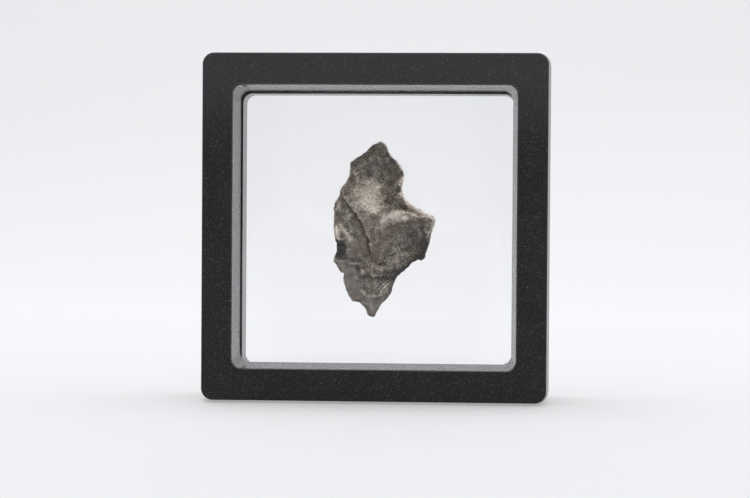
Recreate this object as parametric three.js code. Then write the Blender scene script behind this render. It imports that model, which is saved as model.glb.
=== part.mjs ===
// Iron meteorite held between two clear films in a black two-part display frame.
//
// Millimetres, +Z up. The frame stands upright on its bottom edge, its front looks along -Y, and the
// origin is under its middle. Pieces: front_frame, back_frame, front_film, back_film, meteorite.
import * as THREE from "three";

// Frame: two square mouldings that close on each other, 70 mm wide together
const HALF_WIDTH = 34.85; // of one moulding at the parting plane
const FRAME_DEPTH = 20; // both mouldings together, front to back
const CENTRE_HEIGHT = HALF_WIDTH; // height of the middle of the window
const SIDE_SLIP = 0.15; // the front moulding sits this far to the left, the back one to the right
const BACK_WINDOW_DROP = 0.6; // the back window sits this much lower than the front one

// Cross-section of one moulding, as half widths of rounded squares and depths from the parting plane
const FACE_HALF = 34.0; // the front edge, which the sides flare out from
const FLARE_DEPTH = 6; // the flare ends this far behind the face
const EDGE_ROUND = 0.35; // rounding of the edges of the face
const WINDOW_FRONT_HALF = 28.0; // window at the face
const WINDOW_BACK_HALF = 27.55; // window at the parting plane
const OUTER_CORNER = 2.3; // corner radius outside
const WINDOW_CORNER = 1.95; // corner radius of the window
const PARTING_GAP = 0.15; // from the parting plane to each moulding's lip
const LIP_HALF = 33.3; // inside of the lip that shuts round the films
const RECESS_DEPTH = 0.5; // of the step inside the lip, which grips the films
const CORNER_STEPS = 6; // facets round each corner

// Films: square sheets gripped between the mouldings and pushed apart by the meteorite
const FILM_HALF = 32.4; // half width of the sheet
const FILM_SPAN_HALF = 27.4; // half width of the part that is free to stretch
const FILM_THICKNESS = 0.2;
const FILM_LIFT = 0.15; // from the parting plane to the inner face of each film where it is gripped
const FILM_CLEARANCE = 0.3; // between a film and the meteorite
const FILM_CELLS = 20; // cells across the free part
const FILM_ROUNDS = 400; // passes of the relaxation that finds the stretched shape

// Meteorite: 36 mm tall, 21 mm wide, about 7 mm thick
const METEORITE_HEIGHT = 35.75;
const METEORITE_CENTRE = new THREE.Vector3(0.66, 0, CENTRE_HEIGHT - 0.6);
const METEORITE_TURN = THREE.MathUtils.degToRad(0.4); // the outline was read from a picture turned so far
const METEORITE_CELLS = 32; // cells across each face of the mesh
const EDGE_WIDTH = 0.7; // the thickness grows from nothing over this distance from the outline

// Outline of the meteorite, anticlockwise from the lower right, in picture units with y down
const OUTLINE_MIDDLE = [380, 230];
const OUTLINE_TOP = 141.1;
const OUTLINE_BOTTOM = 317;
const OUTLINE = [
  [412.2, 262.2], [418.5, 259], [421.3, 260.4], [425, 257.4], [426.8, 250.1], [429.8, 241.6],
  [431.6, 231.9], [434.7, 224.7], [435.5, 218.6], [431.6, 214.4], [425.6, 211.9], [417.1, 207.7],
  [409.8, 202.9], [404.4, 196.8], [401.9, 189.5], [402.5, 183.5], [404.4, 177.4], [404.4, 171.4],
  [400.1, 164.1], [394.1, 158], [389.2, 152], [385.6, 143.5], [381.3, 141.1], [377.1, 142.3],
  [371, 145.3], [366.8, 150.1], [362.6, 153.8], [355.3, 157.4], [349.8, 162.3], [349.8, 168.9],
  [348.6, 176.2], [345, 182.3], [340.1, 188.3], [338.9, 195.6], [335.3, 201.6], [333.5, 207.7],
  [334.1, 217.4], [333.5, 227.1], [334.1, 235.6], [336.5, 242.8], [336.5, 251.3], [333.7, 256.2],
  [333.2, 261], [337.1, 266.5], [340.1, 271.9], [343.8, 273.1], [342.6, 279.2], [345, 287.7],
  [348, 294.9], [351.7, 300.4], [360.1, 302.8], [365.6, 308.3], [367.4, 314.3], [371.7, 317],
  [374.7, 316.2], [377.1, 310.7], [382, 302.8], [388, 297.4], [391.6, 291.3], [394.1, 281.6],
  [397.7, 275.6], [405, 269.5],
];

// Relief, in millimetres to the right of and above the middle of the outline. A height is measured
// out from the parting plane. A bowl rises by 1 mm over its floor at its reach.
const FRONT_CROWN = { height: 3.6, fallAcross: 0.012, fallAlong: 0.006 };
const UPPER_PLATE = { height: 2.5, at: 13, slope: 0.05 };
const FRONT_BOWLS = [
  { name: "upper bowl", at: [-1.0, 10.4], floor: 1.5, reach: [4.8, 4.6], turn: -20 },
  { name: "right scoop", at: [4.3, -2.7], floor: 0.8, reach: [4.8, 2.6], turn: 38 },
  { name: "left pocket", at: [-7.9, -3.6], floor: 0.5, reach: [1.0, 1.5], turn: 0 },
  { name: "lower scoop", at: [-0.8, -10.7], floor: 1.2, reach: [2.8, 2.2], turn: 8 },
  { name: "right valley", at: [4.6, 8.6], floor: 1.7, reach: [1.6, 3.6], turn: -10 },
];
const FRONT_RIDGES = [
  { name: "cross ridge", path: [[0.4, 2.1], [3.6, 3.7], [6.1, 3.6], [10.6, 2.4]], height: 0.6, width: 0.7 },
  { name: "right rim", path: [[3.9, 7.3], [5.0, 6.0], [7.5, 4.0], [10.6, 2.4]], height: 0.6, width: 0.5 },
  { name: "middle rib", path: [[-0.6, 1.1], [-0.6, -2.4]], height: 0.3, width: 0.4 },
  { name: "left rib", path: [[-8.0, 1.1], [-5.7, -1.9]], height: 0.6, width: 0.5 },
  { name: "pitted ridge", path: [[-3.6, -8.4], [-1.2, -7.6], [2.6, -7.4]], height: 0.5, width: 0.9 },
  { name: "lower rim", path: [[-3.5, -12.5], [-2.6, -13.5], [-0.8, -13.3], [1.6, -12.2]], height: 0.6, width: 0.5 },
  { name: "ledge groove", path: [[-7.6, -5.6], [-3.8, -5.9]], height: -0.7, width: 0.6 },
  { name: "flap groove", path: [[8.6, 1.0], [8.9, -0.8], [8.4, -2.4], [8.7, -4.6]], height: -0.35, width: 0.35 },
];
// A step drops the ground on the left of its path, and fades out past the ends of the path
const FRONT_STEPS = [
  {
    name: "crack",
    path: [[-2.1, -3.2], [-2.5, -1.6], [-3.3, 0.1], [-4.1, 1.8], [-5.1, 3.6], [-6.1, 4.6], [-6.6, 5.6]],
    drop: 0.8, width: 0.3, fade: 1.6,
  },
  {
    name: "ledge",
    path: [[4.2, -9.0], [0.5, -9.2], [-3.4, -8.9], [-4.0, -6.6], [-9.4, -5.7]],
    drop: 0.7, width: 0.9, fade: 1.5,
  },
];
const BACK_CROWN = { height: 3.3, fallAcross: 0.016, fallAlong: 0.006 };
const BACK_BOWLS = [
  { name: "top thumbprint", at: [0.4, 11.4], floor: 1.5, reach: [4.0, 3.2], turn: 25 },
  { name: "middle thumbprint", at: [-3.6, 3.6], floor: 1.3, reach: [3.2, 4.2], turn: 10 },
  { name: "right thumbprint", at: [5.2, 0.6], floor: 1.2, reach: [4.2, 2.8], turn: -15 },
  { name: "lower thumbprint", at: [-2.2, -5.6], floor: 1.4, reach: [4.2, 2.8], turn: 30 },
  { name: "tip thumbprint", at: [-1.4, -13.0], floor: 1.0, reach: [2.4, 2.8], turn: 0 },
];
const BLEND = 0.35; // rounding where two bowls meet
const LEAST_HALF = 0.35; // least height of either face away from the outline
// Lumps are waves laid over each other: length in millimetres, direction in degrees, height and start
const LUMPS = [
  { length: 4.3, turn: 25, height: 0.12, start: 0.3 },
  { length: 3.1, turn: 100, height: 0.1, start: 1.9 },
  { length: 2.2, turn: 160, height: 0.07, start: 4.1 },
  { length: 1.7, turn: 60, height: 0.05, start: 2.6 },
];
const BACK_LUMP_SHIFT = 7.3; // the back face reads the same waves this far away

const FRAME_LOOK = { color: 0x2b2b2d, roughness: 0.55, metalness: 0 };
const FILM_LOOK = { color: 0xf4f6f7, roughness: 0.05, metalness: 0, transparent: true, opacity: 0.15 };
const METEORITE_LOOK = { color: 0x6b625b, roughness: 0.45, metalness: 0.8, flatShading: true };

// Makes a closed mesh with its faces pointing out from corner positions and triangles
function closedMesh(name, positions, triangles, look) {
  const [a, b, c] = [new THREE.Vector3(), new THREE.Vector3(), new THREE.Vector3()];
  let volume = 0;
  for (const [i, j, k] of triangles) {
    a.fromArray(positions[i]);
    b.fromArray(positions[j]);
    c.fromArray(positions[k]);
    volume += a.dot(b.cross(c));
  }
  const outward = volume > 0 ? triangles : triangles.map(([i, j, k]) => [i, k, j]);
  const geometry = new THREE.BufferGeometry();
  geometry.setAttribute("position", new THREE.Float32BufferAttribute(positions.flat(), 3));
  geometry.setIndex(outward.flat());
  geometry.computeVertexNormals();
  const mesh = new THREE.Mesh(geometry, new THREE.MeshStandardMaterial(look));
  mesh.name = name;
  return mesh;
}

// One moulding: its cross-section carried round a rounded square. side is -1 in front and 1 behind
function frameHalf(name, side) {
  const face = FRAME_DEPTH / 2;
  const recess = PARTING_GAP + RECESS_DEPTH;
  const drop = side > 0 ? BACK_WINDOW_DROP : 0;
  const outside = (half, depth, corner = OUTER_CORNER) => ({ half, depth, corner, drop: 0 });
  const window = (half, depth, corner = WINDOW_CORNER) => ({ half, depth, corner, drop });
  const section = [
    outside(FACE_HALF - EDGE_ROUND, face, OUTER_CORNER - EDGE_ROUND),
    outside(FACE_HALF, face - EDGE_ROUND),
    outside(HALF_WIDTH, face - FLARE_DEPTH),
    outside(HALF_WIDTH, PARTING_GAP),
    outside(LIP_HALF, PARTING_GAP, OUTER_CORNER / 2),
    outside(LIP_HALF, recess, OUTER_CORNER / 2),
    window(WINDOW_BACK_HALF, recess),
    window(WINDOW_FRONT_HALF, face - EDGE_ROUND),
    window(WINDOW_FRONT_HALF + EDGE_ROUND, face, WINDOW_CORNER + EDGE_ROUND),
  ];
  const around = 4 * (CORNER_STEPS + 1);
  const positions = [];
  for (const { half, depth, corner, drop: lower } of section) {
    for (let quarter = 0; quarter < 4; quarter += 1) {
      for (let step = 0; step <= CORNER_STEPS; step += 1) {
        const angle = (Math.PI / 2) * (quarter + step / CORNER_STEPS);
        const middle = Math.PI / 4 + (Math.PI / 2) * quarter;
        const x = Math.sign(Math.cos(middle)) * (half - corner) + corner * Math.cos(angle);
        const z = Math.sign(Math.sin(middle)) * (half - corner) + corner * Math.sin(angle);
        positions.push([x + side * SIDE_SLIP, side * depth, CENTRE_HEIGHT + z - lower]);
      }
    }
  }
  const triangles = [];
  for (let row = 0; row < section.length; row += 1) {
    const next = (row + 1) % section.length;
    for (let i = 0; i < around; i += 1) {
      const j = (i + 1) % around;
      const [a, b, c, d] = [row * around + i, row * around + j, next * around + j, next * around + i];
      triangles.push([a, b, c], [a, c, d]);
    }
  }
  return closedMesh(name, positions, triangles, FRAME_LOOK);
}

// Outline in millimetres about its middle, with y up
const pictureScale = METEORITE_HEIGHT / (OUTLINE_BOTTOM - OUTLINE_TOP);
const outline = OUTLINE.map(([x, y]) =>
  new THREE.Vector2((x - OUTLINE_MIDDLE[0]) * pictureScale, (OUTLINE_MIDDLE[1] - y) * pictureScale)
    .rotateAround(new THREE.Vector2(0, 0), METEORITE_TURN));
const outlineEnds = outline.map((point, i) => outline[(i + 1) % outline.length]);
const outlineRuns = outline.map((point, i) => point.distanceTo(outlineEnds[i]));
const outlineLength = outlineRuns.reduce((sum, run) => sum + run, 0);

// Point of the outline at a share of its length
function outlinePoint(share) {
  let left = (share % 1) * outlineLength;
  for (let i = 0; i < outline.length; i += 1) {
    if (left <= outlineRuns[i]) {
      return outline[i].clone().lerp(outlineEnds[i], left / outlineRuns[i]);
    }
    left -= outlineRuns[i];
  }
  return outline[0].clone();
}

// Nearest point of a segment: its distance, which side the point is on and the share along it
function nearSegment(u, v, from, to) {
  const [dx, dy] = [to[0] - from[0], to[1] - from[1]];
  const free = ((u - from[0]) * dx + (v - from[1]) * dy) / (dx * dx + dy * dy);
  const share = THREE.MathUtils.clamp(free, 0, 1);
  const distance = Math.hypot(u - from[0] - share * dx, v - from[1] - share * dy);
  const side = Math.sign(dx * (v - from[1]) - dy * (u - from[0]));
  return { distance, side, beyond: (free - share) * Math.hypot(dx, dy) };
}

// Nearest point of a path of straight runs
function nearPath(u, v, path) {
  let best = { distance: Infinity };
  for (let i = 0; i + 1 < path.length; i += 1) {
    const near = nearSegment(u, v, path[i], path[i + 1]);
    if (near.distance < best.distance) best = near;
  }
  return best;
}

const outlinePath = [...outline, outline[0]].map((point) => point.toArray());

function insideOutline(u, v) {
  let inside = false;
  for (let i = 0; i < outline.length; i += 1) {
    const [a, b] = [outline[i], outlineEnds[i]];
    const crosses = a.y > v !== b.y > v;
    if (crosses && u < a.x + ((v - a.y) / (b.y - a.y)) * (b.x - a.x)) inside = !inside;
  }
  return inside;
}

// The lower of two heights, rounded where they meet
function smoothMin(a, b) {
  const near = Math.max(BLEND - Math.abs(a - b), 0) / BLEND;
  return Math.min(a, b) - (near * near * BLEND) / 4;
}

function bowlHeight(u, v, { at, floor, reach, turn }) {
  const angle = THREE.MathUtils.degToRad(turn);
  const [du, dv] = [u - at[0], v - at[1]];
  const along = du * Math.cos(angle) + dv * Math.sin(angle);
  const across = dv * Math.cos(angle) - du * Math.sin(angle);
  return floor + (along / reach[0]) ** 2 + (across / reach[1]) ** 2;
}

function ridgeHeight(u, v, { path, height, width }) {
  return height * Math.exp(-((nearPath(u, v, path).distance / width) ** 2));
}

function stepDrop(u, v, { path, drop, width, fade }) {
  const near = nearPath(u, v, path);
  const past = near.side * near.distance;
  const share = THREE.MathUtils.smoothstep(past, 0, width);
  return drop * share * Math.exp(-((near.beyond / fade) ** 2)) * Math.exp(-Math.max(past, 0) / 9);
}

function lumps(u, v) {
  return LUMPS.reduce((sum, { length, turn, height, start }) => {
    const angle = THREE.MathUtils.degToRad(turn);
    const along = (u * Math.cos(angle) + v * Math.sin(angle)) / length;
    const across = (v * Math.cos(angle) - u * Math.sin(angle)) / length;
    return sum + height * Math.sin(2 * Math.PI * along + start) * Math.cos(4.4 * across + start);
  }, 0);
}

function crownHeight(u, v, { height, fallAcross, fallAlong }) {
  return height - fallAcross * u * u - fallAlong * v * v;
}

// Height of the front face out from the parting plane, away from the outline
function frontHeight(u, v) {
  const plate = UPPER_PLATE.height + UPPER_PLATE.slope * (v - UPPER_PLATE.at);
  let height = smoothMin(crownHeight(u, v, FRONT_CROWN), plate);
  for (const bowl of FRONT_BOWLS) height = smoothMin(height, bowlHeight(u, v, bowl));
  for (const step of FRONT_STEPS) height -= stepDrop(u, v, step);
  for (const ridge of FRONT_RIDGES) height += ridgeHeight(u, v, ridge);
  return Math.max(height + lumps(u, v), LEAST_HALF);
}

// Height of the back face out from the parting plane, away from the outline
function backHeight(u, v) {
  let height = crownHeight(u, v, BACK_CROWN);
  for (const bowl of BACK_BOWLS) height = smoothMin(height, bowlHeight(u, v, bowl));
  return Math.max(height + lumps(u + BACK_LUMP_SHIFT, v), LEAST_HALF);
}

// Share of the full thickness near the outline, which is a blunt rounded lip
function edgeShare(u, v) {
  const depth = Math.min(nearPath(u, v, outlinePath).distance / EDGE_WIDTH, 1);
  return Math.sqrt(1 - (1 - depth) ** 2);
}

// Where the two faces meet, bent a little out of the parting plane
function edgeBend(u, v) {
  return 0.5 * Math.sin(0.31 * u + 0.2) + 0.4 * Math.sin(0.27 * v + 1.1);
}

function surfaceHeight(u, v, front) {
  const bend = edgeBend(u, v);
  const share = edgeShare(u, v);
  const full = front ? frontHeight(u, v) - bend : -backHeight(u, v) - bend;
  return bend + full * share;
}

// Place in the model of a point of the meteorite: u to the right, v up and height towards the front
function place(u, v, height) {
  return [METEORITE_CENTRE.x + u, METEORITE_CENTRE.y - height, METEORITE_CENTRE.z + v];
}

// Share of the way round a square, anticlockwise from its lower right corner
function squareShare(a, b) {
  if (a === 1 && b < 1) return (1 + b) / 8;
  if (b === 1 && a > -1) return (3 - a) / 8;
  if (a === -1 && b > -1) return (5 - b) / 8;
  return (7 + a) / 8;
}

// The meteorite: two square grids stretched out to the outline, which share their edge
function meteorite() {
  const cells = METEORITE_CELLS;
  const positions = [];
  const corners = { front: [], back: [] };
  for (let i = 0; i <= cells; i += 1) {
    for (let j = 0; j <= cells; j += 1) {
      const [a, b] = [(2 * i) / cells - 1, (2 * j) / cells - 1];
      const ring = Math.max(Math.abs(a), Math.abs(b));
      const rim = ring > 0 ? outlinePoint(squareShare(a / ring, b / ring)) : new THREE.Vector2();
      const [u, v] = [rim.x * ring, rim.y * ring];
      corners.front.push(positions.push(place(u, v, surfaceHeight(u, v, true))) - 1);
      if (ring < 1) positions.push(place(u, v, surfaceHeight(u, v, false)));
      corners.back.push(positions.length - 1);
    }
  }
  const triangles = [];
  for (let i = 0; i < cells; i += 1) {
    for (let j = 0; j < cells; j += 1) {
      const [p, q] = [i * (cells + 1) + j, (i + 1) * (cells + 1) + j];
      for (const [grid, flip] of [[corners.front, false], [corners.back, true]]) {
        const [a, b, c, d] = [grid[p], grid[q], grid[q + 1], grid[p + 1]];
        const sameSide = (i < cells / 2) === (j < cells / 2);
        const pair = sameSide ? [[a, b, c], [a, c, d]] : [[a, b, d], [b, c, d]];
        for (const [x, y, z] of pair) triangles.push(flip ? [x, z, y] : [x, y, z]);
      }
    }
  }
  return closedMesh("meteorite", positions, triangles, METEORITE_LOOK);
}

// Least height that a film needs at each grid point to clear the meteorite all round that point
function obstacle(lines, front) {
  const reach = (2 * FILM_SPAN_HALF) / FILM_CELLS;
  const samples = [-1, -0.75, -0.5, -0.25, 0, 0.25, 0.5, 0.75, 1];
  const sign = front ? 1 : -1;
  return lines.map((x) => lines.map((z) => {
    let least = FILM_LIFT;
    for (const across of samples) {
      for (const along of samples) {
        const u = x + across * reach - METEORITE_CENTRE.x;
        const v = z + along * reach + CENTRE_HEIGHT - METEORITE_CENTRE.z;
        if (insideOutline(u, v)) {
          least = Math.max(least, sign * surfaceHeight(u, v, front) + FILM_CLEARANCE);
        }
      }
    }
    return least;
  }));
}

// One film: a sheet stretched like a soap film over the meteorite. side is -1 in front and 1 behind
function film(name, side) {
  const span = (2 * FILM_SPAN_HALF) / FILM_CELLS;
  const inner = Array.from({ length: FILM_CELLS + 1 }, (unused, i) => -FILM_SPAN_HALF + i * span);
  const lines = [-FILM_HALF, ...inner, FILM_HALF];
  const last = lines.length - 1;
  const least = obstacle(lines, side < 0);
  const lift = lines.map(() => lines.map(() => FILM_LIFT));
  for (let round = 0; round < FILM_ROUNDS; round += 1) {
    for (let i = 2; i < last - 1; i += 1) {
      for (let j = 2; j < last - 1; j += 1) {
        const mean = (lift[i - 1][j] + lift[i + 1][j] + lift[i][j - 1] + lift[i][j + 1]) / 4;
        lift[i][j] = Math.max(mean, least[i][j]);
      }
    }
  }
  const positions = [];
  for (const extra of [0, FILM_THICKNESS]) {
    lines.forEach((x, i) => lines.forEach((z, j) => {
      positions.push([x, side * (lift[i][j] + extra), CENTRE_HEIGHT + z]);
    }));
  }
  const rowLength = lines.length;
  const layer = rowLength * rowLength;
  const triangles = [];
  for (let i = 0; i < last; i += 1) {
    for (let j = 0; j < last; j += 1) {
      const [a, b, c, d] = [i * rowLength + j, (i + 1) * rowLength + j,
        (i + 1) * rowLength + j + 1, i * rowLength + j + 1];
      triangles.push([a, b, c], [a, c, d]);
      triangles.push([a + layer, c + layer, b + layer], [a + layer, d + layer, c + layer]);
    }
  }
  const rim = [];
  for (let k = 0; k < last; k += 1) rim.push([k * rowLength, (k + 1) * rowLength]);
  for (let k = 0; k < last; k += 1) rim.push([last * rowLength + k, last * rowLength + k + 1]);
  for (let k = last; k > 0; k -= 1) rim.push([k * rowLength + last, (k - 1) * rowLength + last]);
  for (let k = last; k > 0; k -= 1) rim.push([k, k - 1]);
  for (const [from, to] of rim) {
    triangles.push([from, from + layer, to + layer], [from, to + layer, to]);
  }
  return closedMesh(name, positions, triangles, FILM_LOOK);
}

const group = new THREE.Group();
group.add(frameHalf("front_frame", -1));
group.add(frameHalf("back_frame", 1));
group.add(film("front_film", -1));
group.add(film("back_film", 1));
group.add(meteorite());

export default group;
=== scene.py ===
"""Looks of an iron meteorite that floats between two clear films in a black two-part display frame.

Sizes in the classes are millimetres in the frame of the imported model; meshes are written in metres.
"""
import logging
import math
from dataclasses import dataclass
from enum import Enum

import bpy
import numpy as np
from mathutils import Matrix, Vector


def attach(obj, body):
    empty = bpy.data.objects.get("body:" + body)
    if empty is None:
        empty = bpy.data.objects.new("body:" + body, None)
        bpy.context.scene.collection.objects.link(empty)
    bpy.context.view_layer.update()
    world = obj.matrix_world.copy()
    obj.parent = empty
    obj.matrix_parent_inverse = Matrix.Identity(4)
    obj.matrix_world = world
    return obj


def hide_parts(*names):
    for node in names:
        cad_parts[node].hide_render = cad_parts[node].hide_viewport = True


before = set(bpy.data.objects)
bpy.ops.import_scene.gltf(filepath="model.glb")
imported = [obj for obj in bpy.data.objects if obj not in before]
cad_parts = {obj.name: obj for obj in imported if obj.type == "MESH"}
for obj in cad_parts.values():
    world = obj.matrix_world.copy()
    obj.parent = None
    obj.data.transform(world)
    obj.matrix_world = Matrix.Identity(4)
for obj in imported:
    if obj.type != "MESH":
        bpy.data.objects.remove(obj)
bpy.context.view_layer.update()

LOG = logging.getLogger("display_frame")
MM = 0.001
BODY = "root"
Grid = np.ndarray
Triple = tuple[float, float, float]
Path = tuple[tuple[float, float], ...]


class Side(Enum):
    """Which half of the frame: its sign along Y."""

    FRONT = -1
    BACK = 1


def hash_share(i: Grid, j: Grid, seed: int) -> Grid:
    """Spreads whole numbers over 0 to 1: two rounds of multiply and exclusive-or on 32 bits.

    Args:
        i, j: Whole numbers along the two axes.
        seed: Picks another spread.

    Returns:
        One share for each pair.
    """
    low = 0xFFFFFFFF
    mixed = (i.astype(np.int64) * 374761393 + j.astype(np.int64) * 668265263 + seed * 40503) & low
    mixed = ((mixed ^ (mixed >> 13)) * 1274126177) & low
    mixed = ((mixed ^ (mixed >> 15)) * 1103515245) & low
    return (mixed ^ (mixed >> 16)) / float(low)


def noise(u: Grid, v: Grid, seed: int) -> Grid:
    """Smooth noise of about -1 to 1: slopes in random directions at whole numbers, blended between them.

    Args:
        u, v: Coordinates of each point, in cells.
        seed: Picks another noise.

    Returns:
        The noise at each point.
    """
    i, j = np.floor(u), np.floor(v)
    fu, fv = u - i, v - j
    blend_u = fu**3 * (fu * (fu * 6 - 15) + 10)
    blend_v = fv**3 * (fv * (fv * 6 - 15) + 10)
    total = np.zeros_like(u)
    for di, share_u in ((0, 1 - blend_u), (1, blend_u)):
        for dj, share_v in ((0, 1 - blend_v), (1, blend_v)):
            angle = 2 * np.pi * hash_share(i + di, j + dj, seed)
            slope = np.cos(angle) * (fu - di) + np.sin(angle) * (fv - dj)
            total += slope * share_u * share_v
    return 1.5 * total


def nearest_seed(u: Grid, v: Grid, seed: int) -> Grid:
    """Distance, in cells, to the nearest of one random point a cell.

    Args:
        u, v: Coordinates of each point, in cells.
        seed: Picks other points.

    Returns:
        The distance at each point, from 0 to about 1.
    """
    i, j = np.floor(u), np.floor(v)
    best = np.full_like(u, 9.0)
    for di in (-1, 0, 1):
        for dj in (-1, 0, 1):
            du = i + di + hash_share(i + di, j + dj, seed) - u
            dv = j + dj + hash_share(i + di, j + dj, seed + 1) - v
            best = np.minimum(best, np.hypot(du, dv))
    return best


def smooth_step(x: Grid, low: float, high: float) -> Grid:
    """Goes from 0 at low to 1 at high with level ends."""
    share = np.clip((x - low) / (high - low), 0, 1)
    return share * share * (3 - 2 * share)


def near_path(u: Grid, v: Grid, path: Grid) -> Grid:
    """Nearest point of a path of straight runs.

    Args:
        u, v: Coordinates of each point.
        path: Corners of the path, one to a row.

    Returns:
        Three values at each point: the distance, the side (1 on the left of the run, -1 on the right),
        and how far past the path's ends the point lies along it.
    """
    path = np.asarray(path, float)
    last = len(path) - 2
    nearest = np.full((3, *u.shape), np.inf)
    for index, (start, run) in enumerate(zip(path[:-1], np.diff(path, axis=0))):
        length = np.hypot(*run)
        free = ((u - start[0]) * run[0] + (v - start[1]) * run[1]) / length**2
        share = np.clip(free, 0, 1)
        away = np.hypot(u - start[0] - share * run[0], v - start[1] - share * run[1])
        left = np.sign(run[0] * (v - start[1]) - run[1] * (u - start[0]))
        beyond = np.clip((free - share) * length, -9 if index == 0 else 0, 9 if index == last else 0)
        nearest = np.where(away < nearest[0], [away, left, beyond], nearest)
    return nearest


def grid_faces(ids: Grid) -> Grid:
    """Quads between neighbours of a grid of vertex numbers, four numbers to a row."""
    corners = (ids[:-1, :-1], ids[1:, :-1], ids[1:, 1:], ids[:-1, 1:])
    return np.stack(corners, axis=-1).reshape(-1, 4)


def make_piece(name: str, points: Grid, quads: Grid) -> bpy.types.Object:
    """Makes a smooth mesh object with its faces pointing out.

    The volume, the sum over the faces of corner times the cross product of the next two, tells whether
    to turn them round.

    Args:
        name: Name of the object and its mesh.
        points: Vertices in millimetres, one to a row.
        quads: Four vertex numbers to a row.

    Returns:
        The object, linked to the scene.
    """
    a, b, c, d = (points[quads[:, k]] for k in range(4))
    volume = np.einsum("ij,ij->", a, np.cross(b, c)) + np.einsum("ij,ij->", a, np.cross(c, d))
    if volume < 0:
        quads = quads[:, ::-1]
    mesh = bpy.data.meshes.new(name)
    mesh.from_pydata((points * MM).tolist(), [], quads.tolist(), shade_flat=False)
    mesh.validate()
    piece = bpy.data.objects.new(name, mesh)
    bpy.context.collection.objects.link(piece)
    return piece


def dress(piece: bpy.types.Object, node: str, slot: str, *materials: bpy.types.Material) -> None:
    """Gives a piece its materials, says what it stands for and logs it.

    Args:
        piece: The piece.
        node: The CAD node that it replaces.
        slot: That node's material slot; not used.
        materials: Its materials in order.
    """
    for material in materials:
        piece.data.materials.append(material)
    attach(piece, BODY)
    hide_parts(node)
    LOG.info("%s: %d faces, for %s", piece.name, len(piece.data.polygons), node)


class Wire:
    """A shader socket whose operators add Math nodes to its tree."""

    def __init__(self, shop: "NodeShop", socket: bpy.types.NodeSocket) -> None:
        """Keeps the tree's shop and the socket."""
        self.shop = shop
        self.socket = socket

    def maths(self, operation: str, *values: "Wire | float") -> "Wire":
        """Adds a Math node on wires or numbers and gives its result."""
        return self.shop.node("ShaderNodeMath", {"operation": operation}, dict(enumerate(values)))

    def __add__(self, other: "Wire | float") -> "Wire":
        """Sum."""
        return self.maths("ADD", self, other)

    __radd__ = __add__

    def __mul__(self, other: "Wire | float") -> "Wire":
        """Product."""
        return self.maths("MULTIPLY", self, other)

    __rmul__ = __mul__

    def __sub__(self, other: "Wire | float") -> "Wire":
        """Difference."""
        return self.maths("SUBTRACT", self, other)

    def __rsub__(self, other: float) -> "Wire":
        """Difference from a number."""
        return self.maths("SUBTRACT", other, self)

    def __pow__(self, power: float) -> "Wire":
        """Power."""
        return self.maths("POWER", self, power)

    def clamped(self) -> "Wire":
        """The value held between 0 and 1."""
        return self.shop.node("ShaderNodeClamp", {}, {"Value": self})

    def between(self, low: float, high: float) -> "Wire":
        """Share of the way from low to high, held between 0 and 1."""
        limits = {"Value": self, "From Min": low, "From Max": high}
        return self.shop.node("ShaderNodeMapRange", {"interpolation_type": "SMOOTHSTEP"}, limits)


class NodeShop:
    """Adds nodes to one shader tree."""

    def __init__(self, tree: bpy.types.NodeTree) -> None:
        """Empties the tree and keeps it."""
        self.tree = tree
        tree.nodes.clear()

    def node(self, kind: str, settings: dict, inputs: dict, output: int | str = 0) -> Wire:
        """Adds a node.

        Args:
            kind: The node's type.
            settings: Its own properties, set first.
            inputs: Values or wires by socket name or number.
            output: Which output to give.

        Returns:
            That output.
        """
        made = self.tree.nodes.new(kind)
        for name, value in settings.items():
            setattr(made, name, value)
        for name, value in inputs.items():
            socket = made.inputs[name]
            if isinstance(value, Wire):
                self.tree.links.new(value.socket, socket)
            else:
                socket.default_value = value
        return Wire(self, made.outputs[output])

    def mix(self, share: Wire | float, first: Wire | tuple, second: Wire | tuple) -> Wire:
        """Mixes two colours, with that share of the second."""
        colours = [c if isinstance(c, Wire) else (*c, 1.0) for c in (first, second)]
        return self.node("ShaderNodeMix", {"data_type": "RGBA"}, {0: share, 6: colours[0], 7: colours[1]}, 2)

    def place(self, scale: float) -> Wire:
        """Object coordinates in pattern units, so many to the millimetre."""
        where = self.node("ShaderNodeTexCoord", {}, {}, "Object")
        return self.node("ShaderNodeMapping", {}, {"Vector": where, "Scale": (scale / MM,) * 3})

    def noise(self, scale: float, detail: float = 3, roughness: float = 0.5) -> Wire:
        """Noise on Object coordinates about 0.5, with so many lumps to the millimetre and octaves."""
        inputs = {"Vector": self.place(scale), "Scale": 1.0, "Detail": detail, "Roughness": roughness}
        return self.node("ShaderNodeTexNoise", {}, inputs, "Fac")

    def finish(self, shader: Wire, output: str = "ShaderNodeOutputMaterial") -> None:
        """Sends the shader to a new output."""
        self.tree.links.new(shader.socket, self.tree.nodes.new(output).inputs["Surface"])

    def principled(self, inputs: dict) -> None:
        """Adds the common shader with these inputs and sends it to the output."""
        self.finish(self.node("ShaderNodeBsdfPrincipled", {}, inputs))


def new_material(name: str) -> tuple[bpy.types.Material, NodeShop]:
    """Makes an empty node material and its shop."""
    material = bpy.data.materials.new(name)
    material.use_nodes = True
    return material, NodeShop(material.node_tree)


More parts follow.
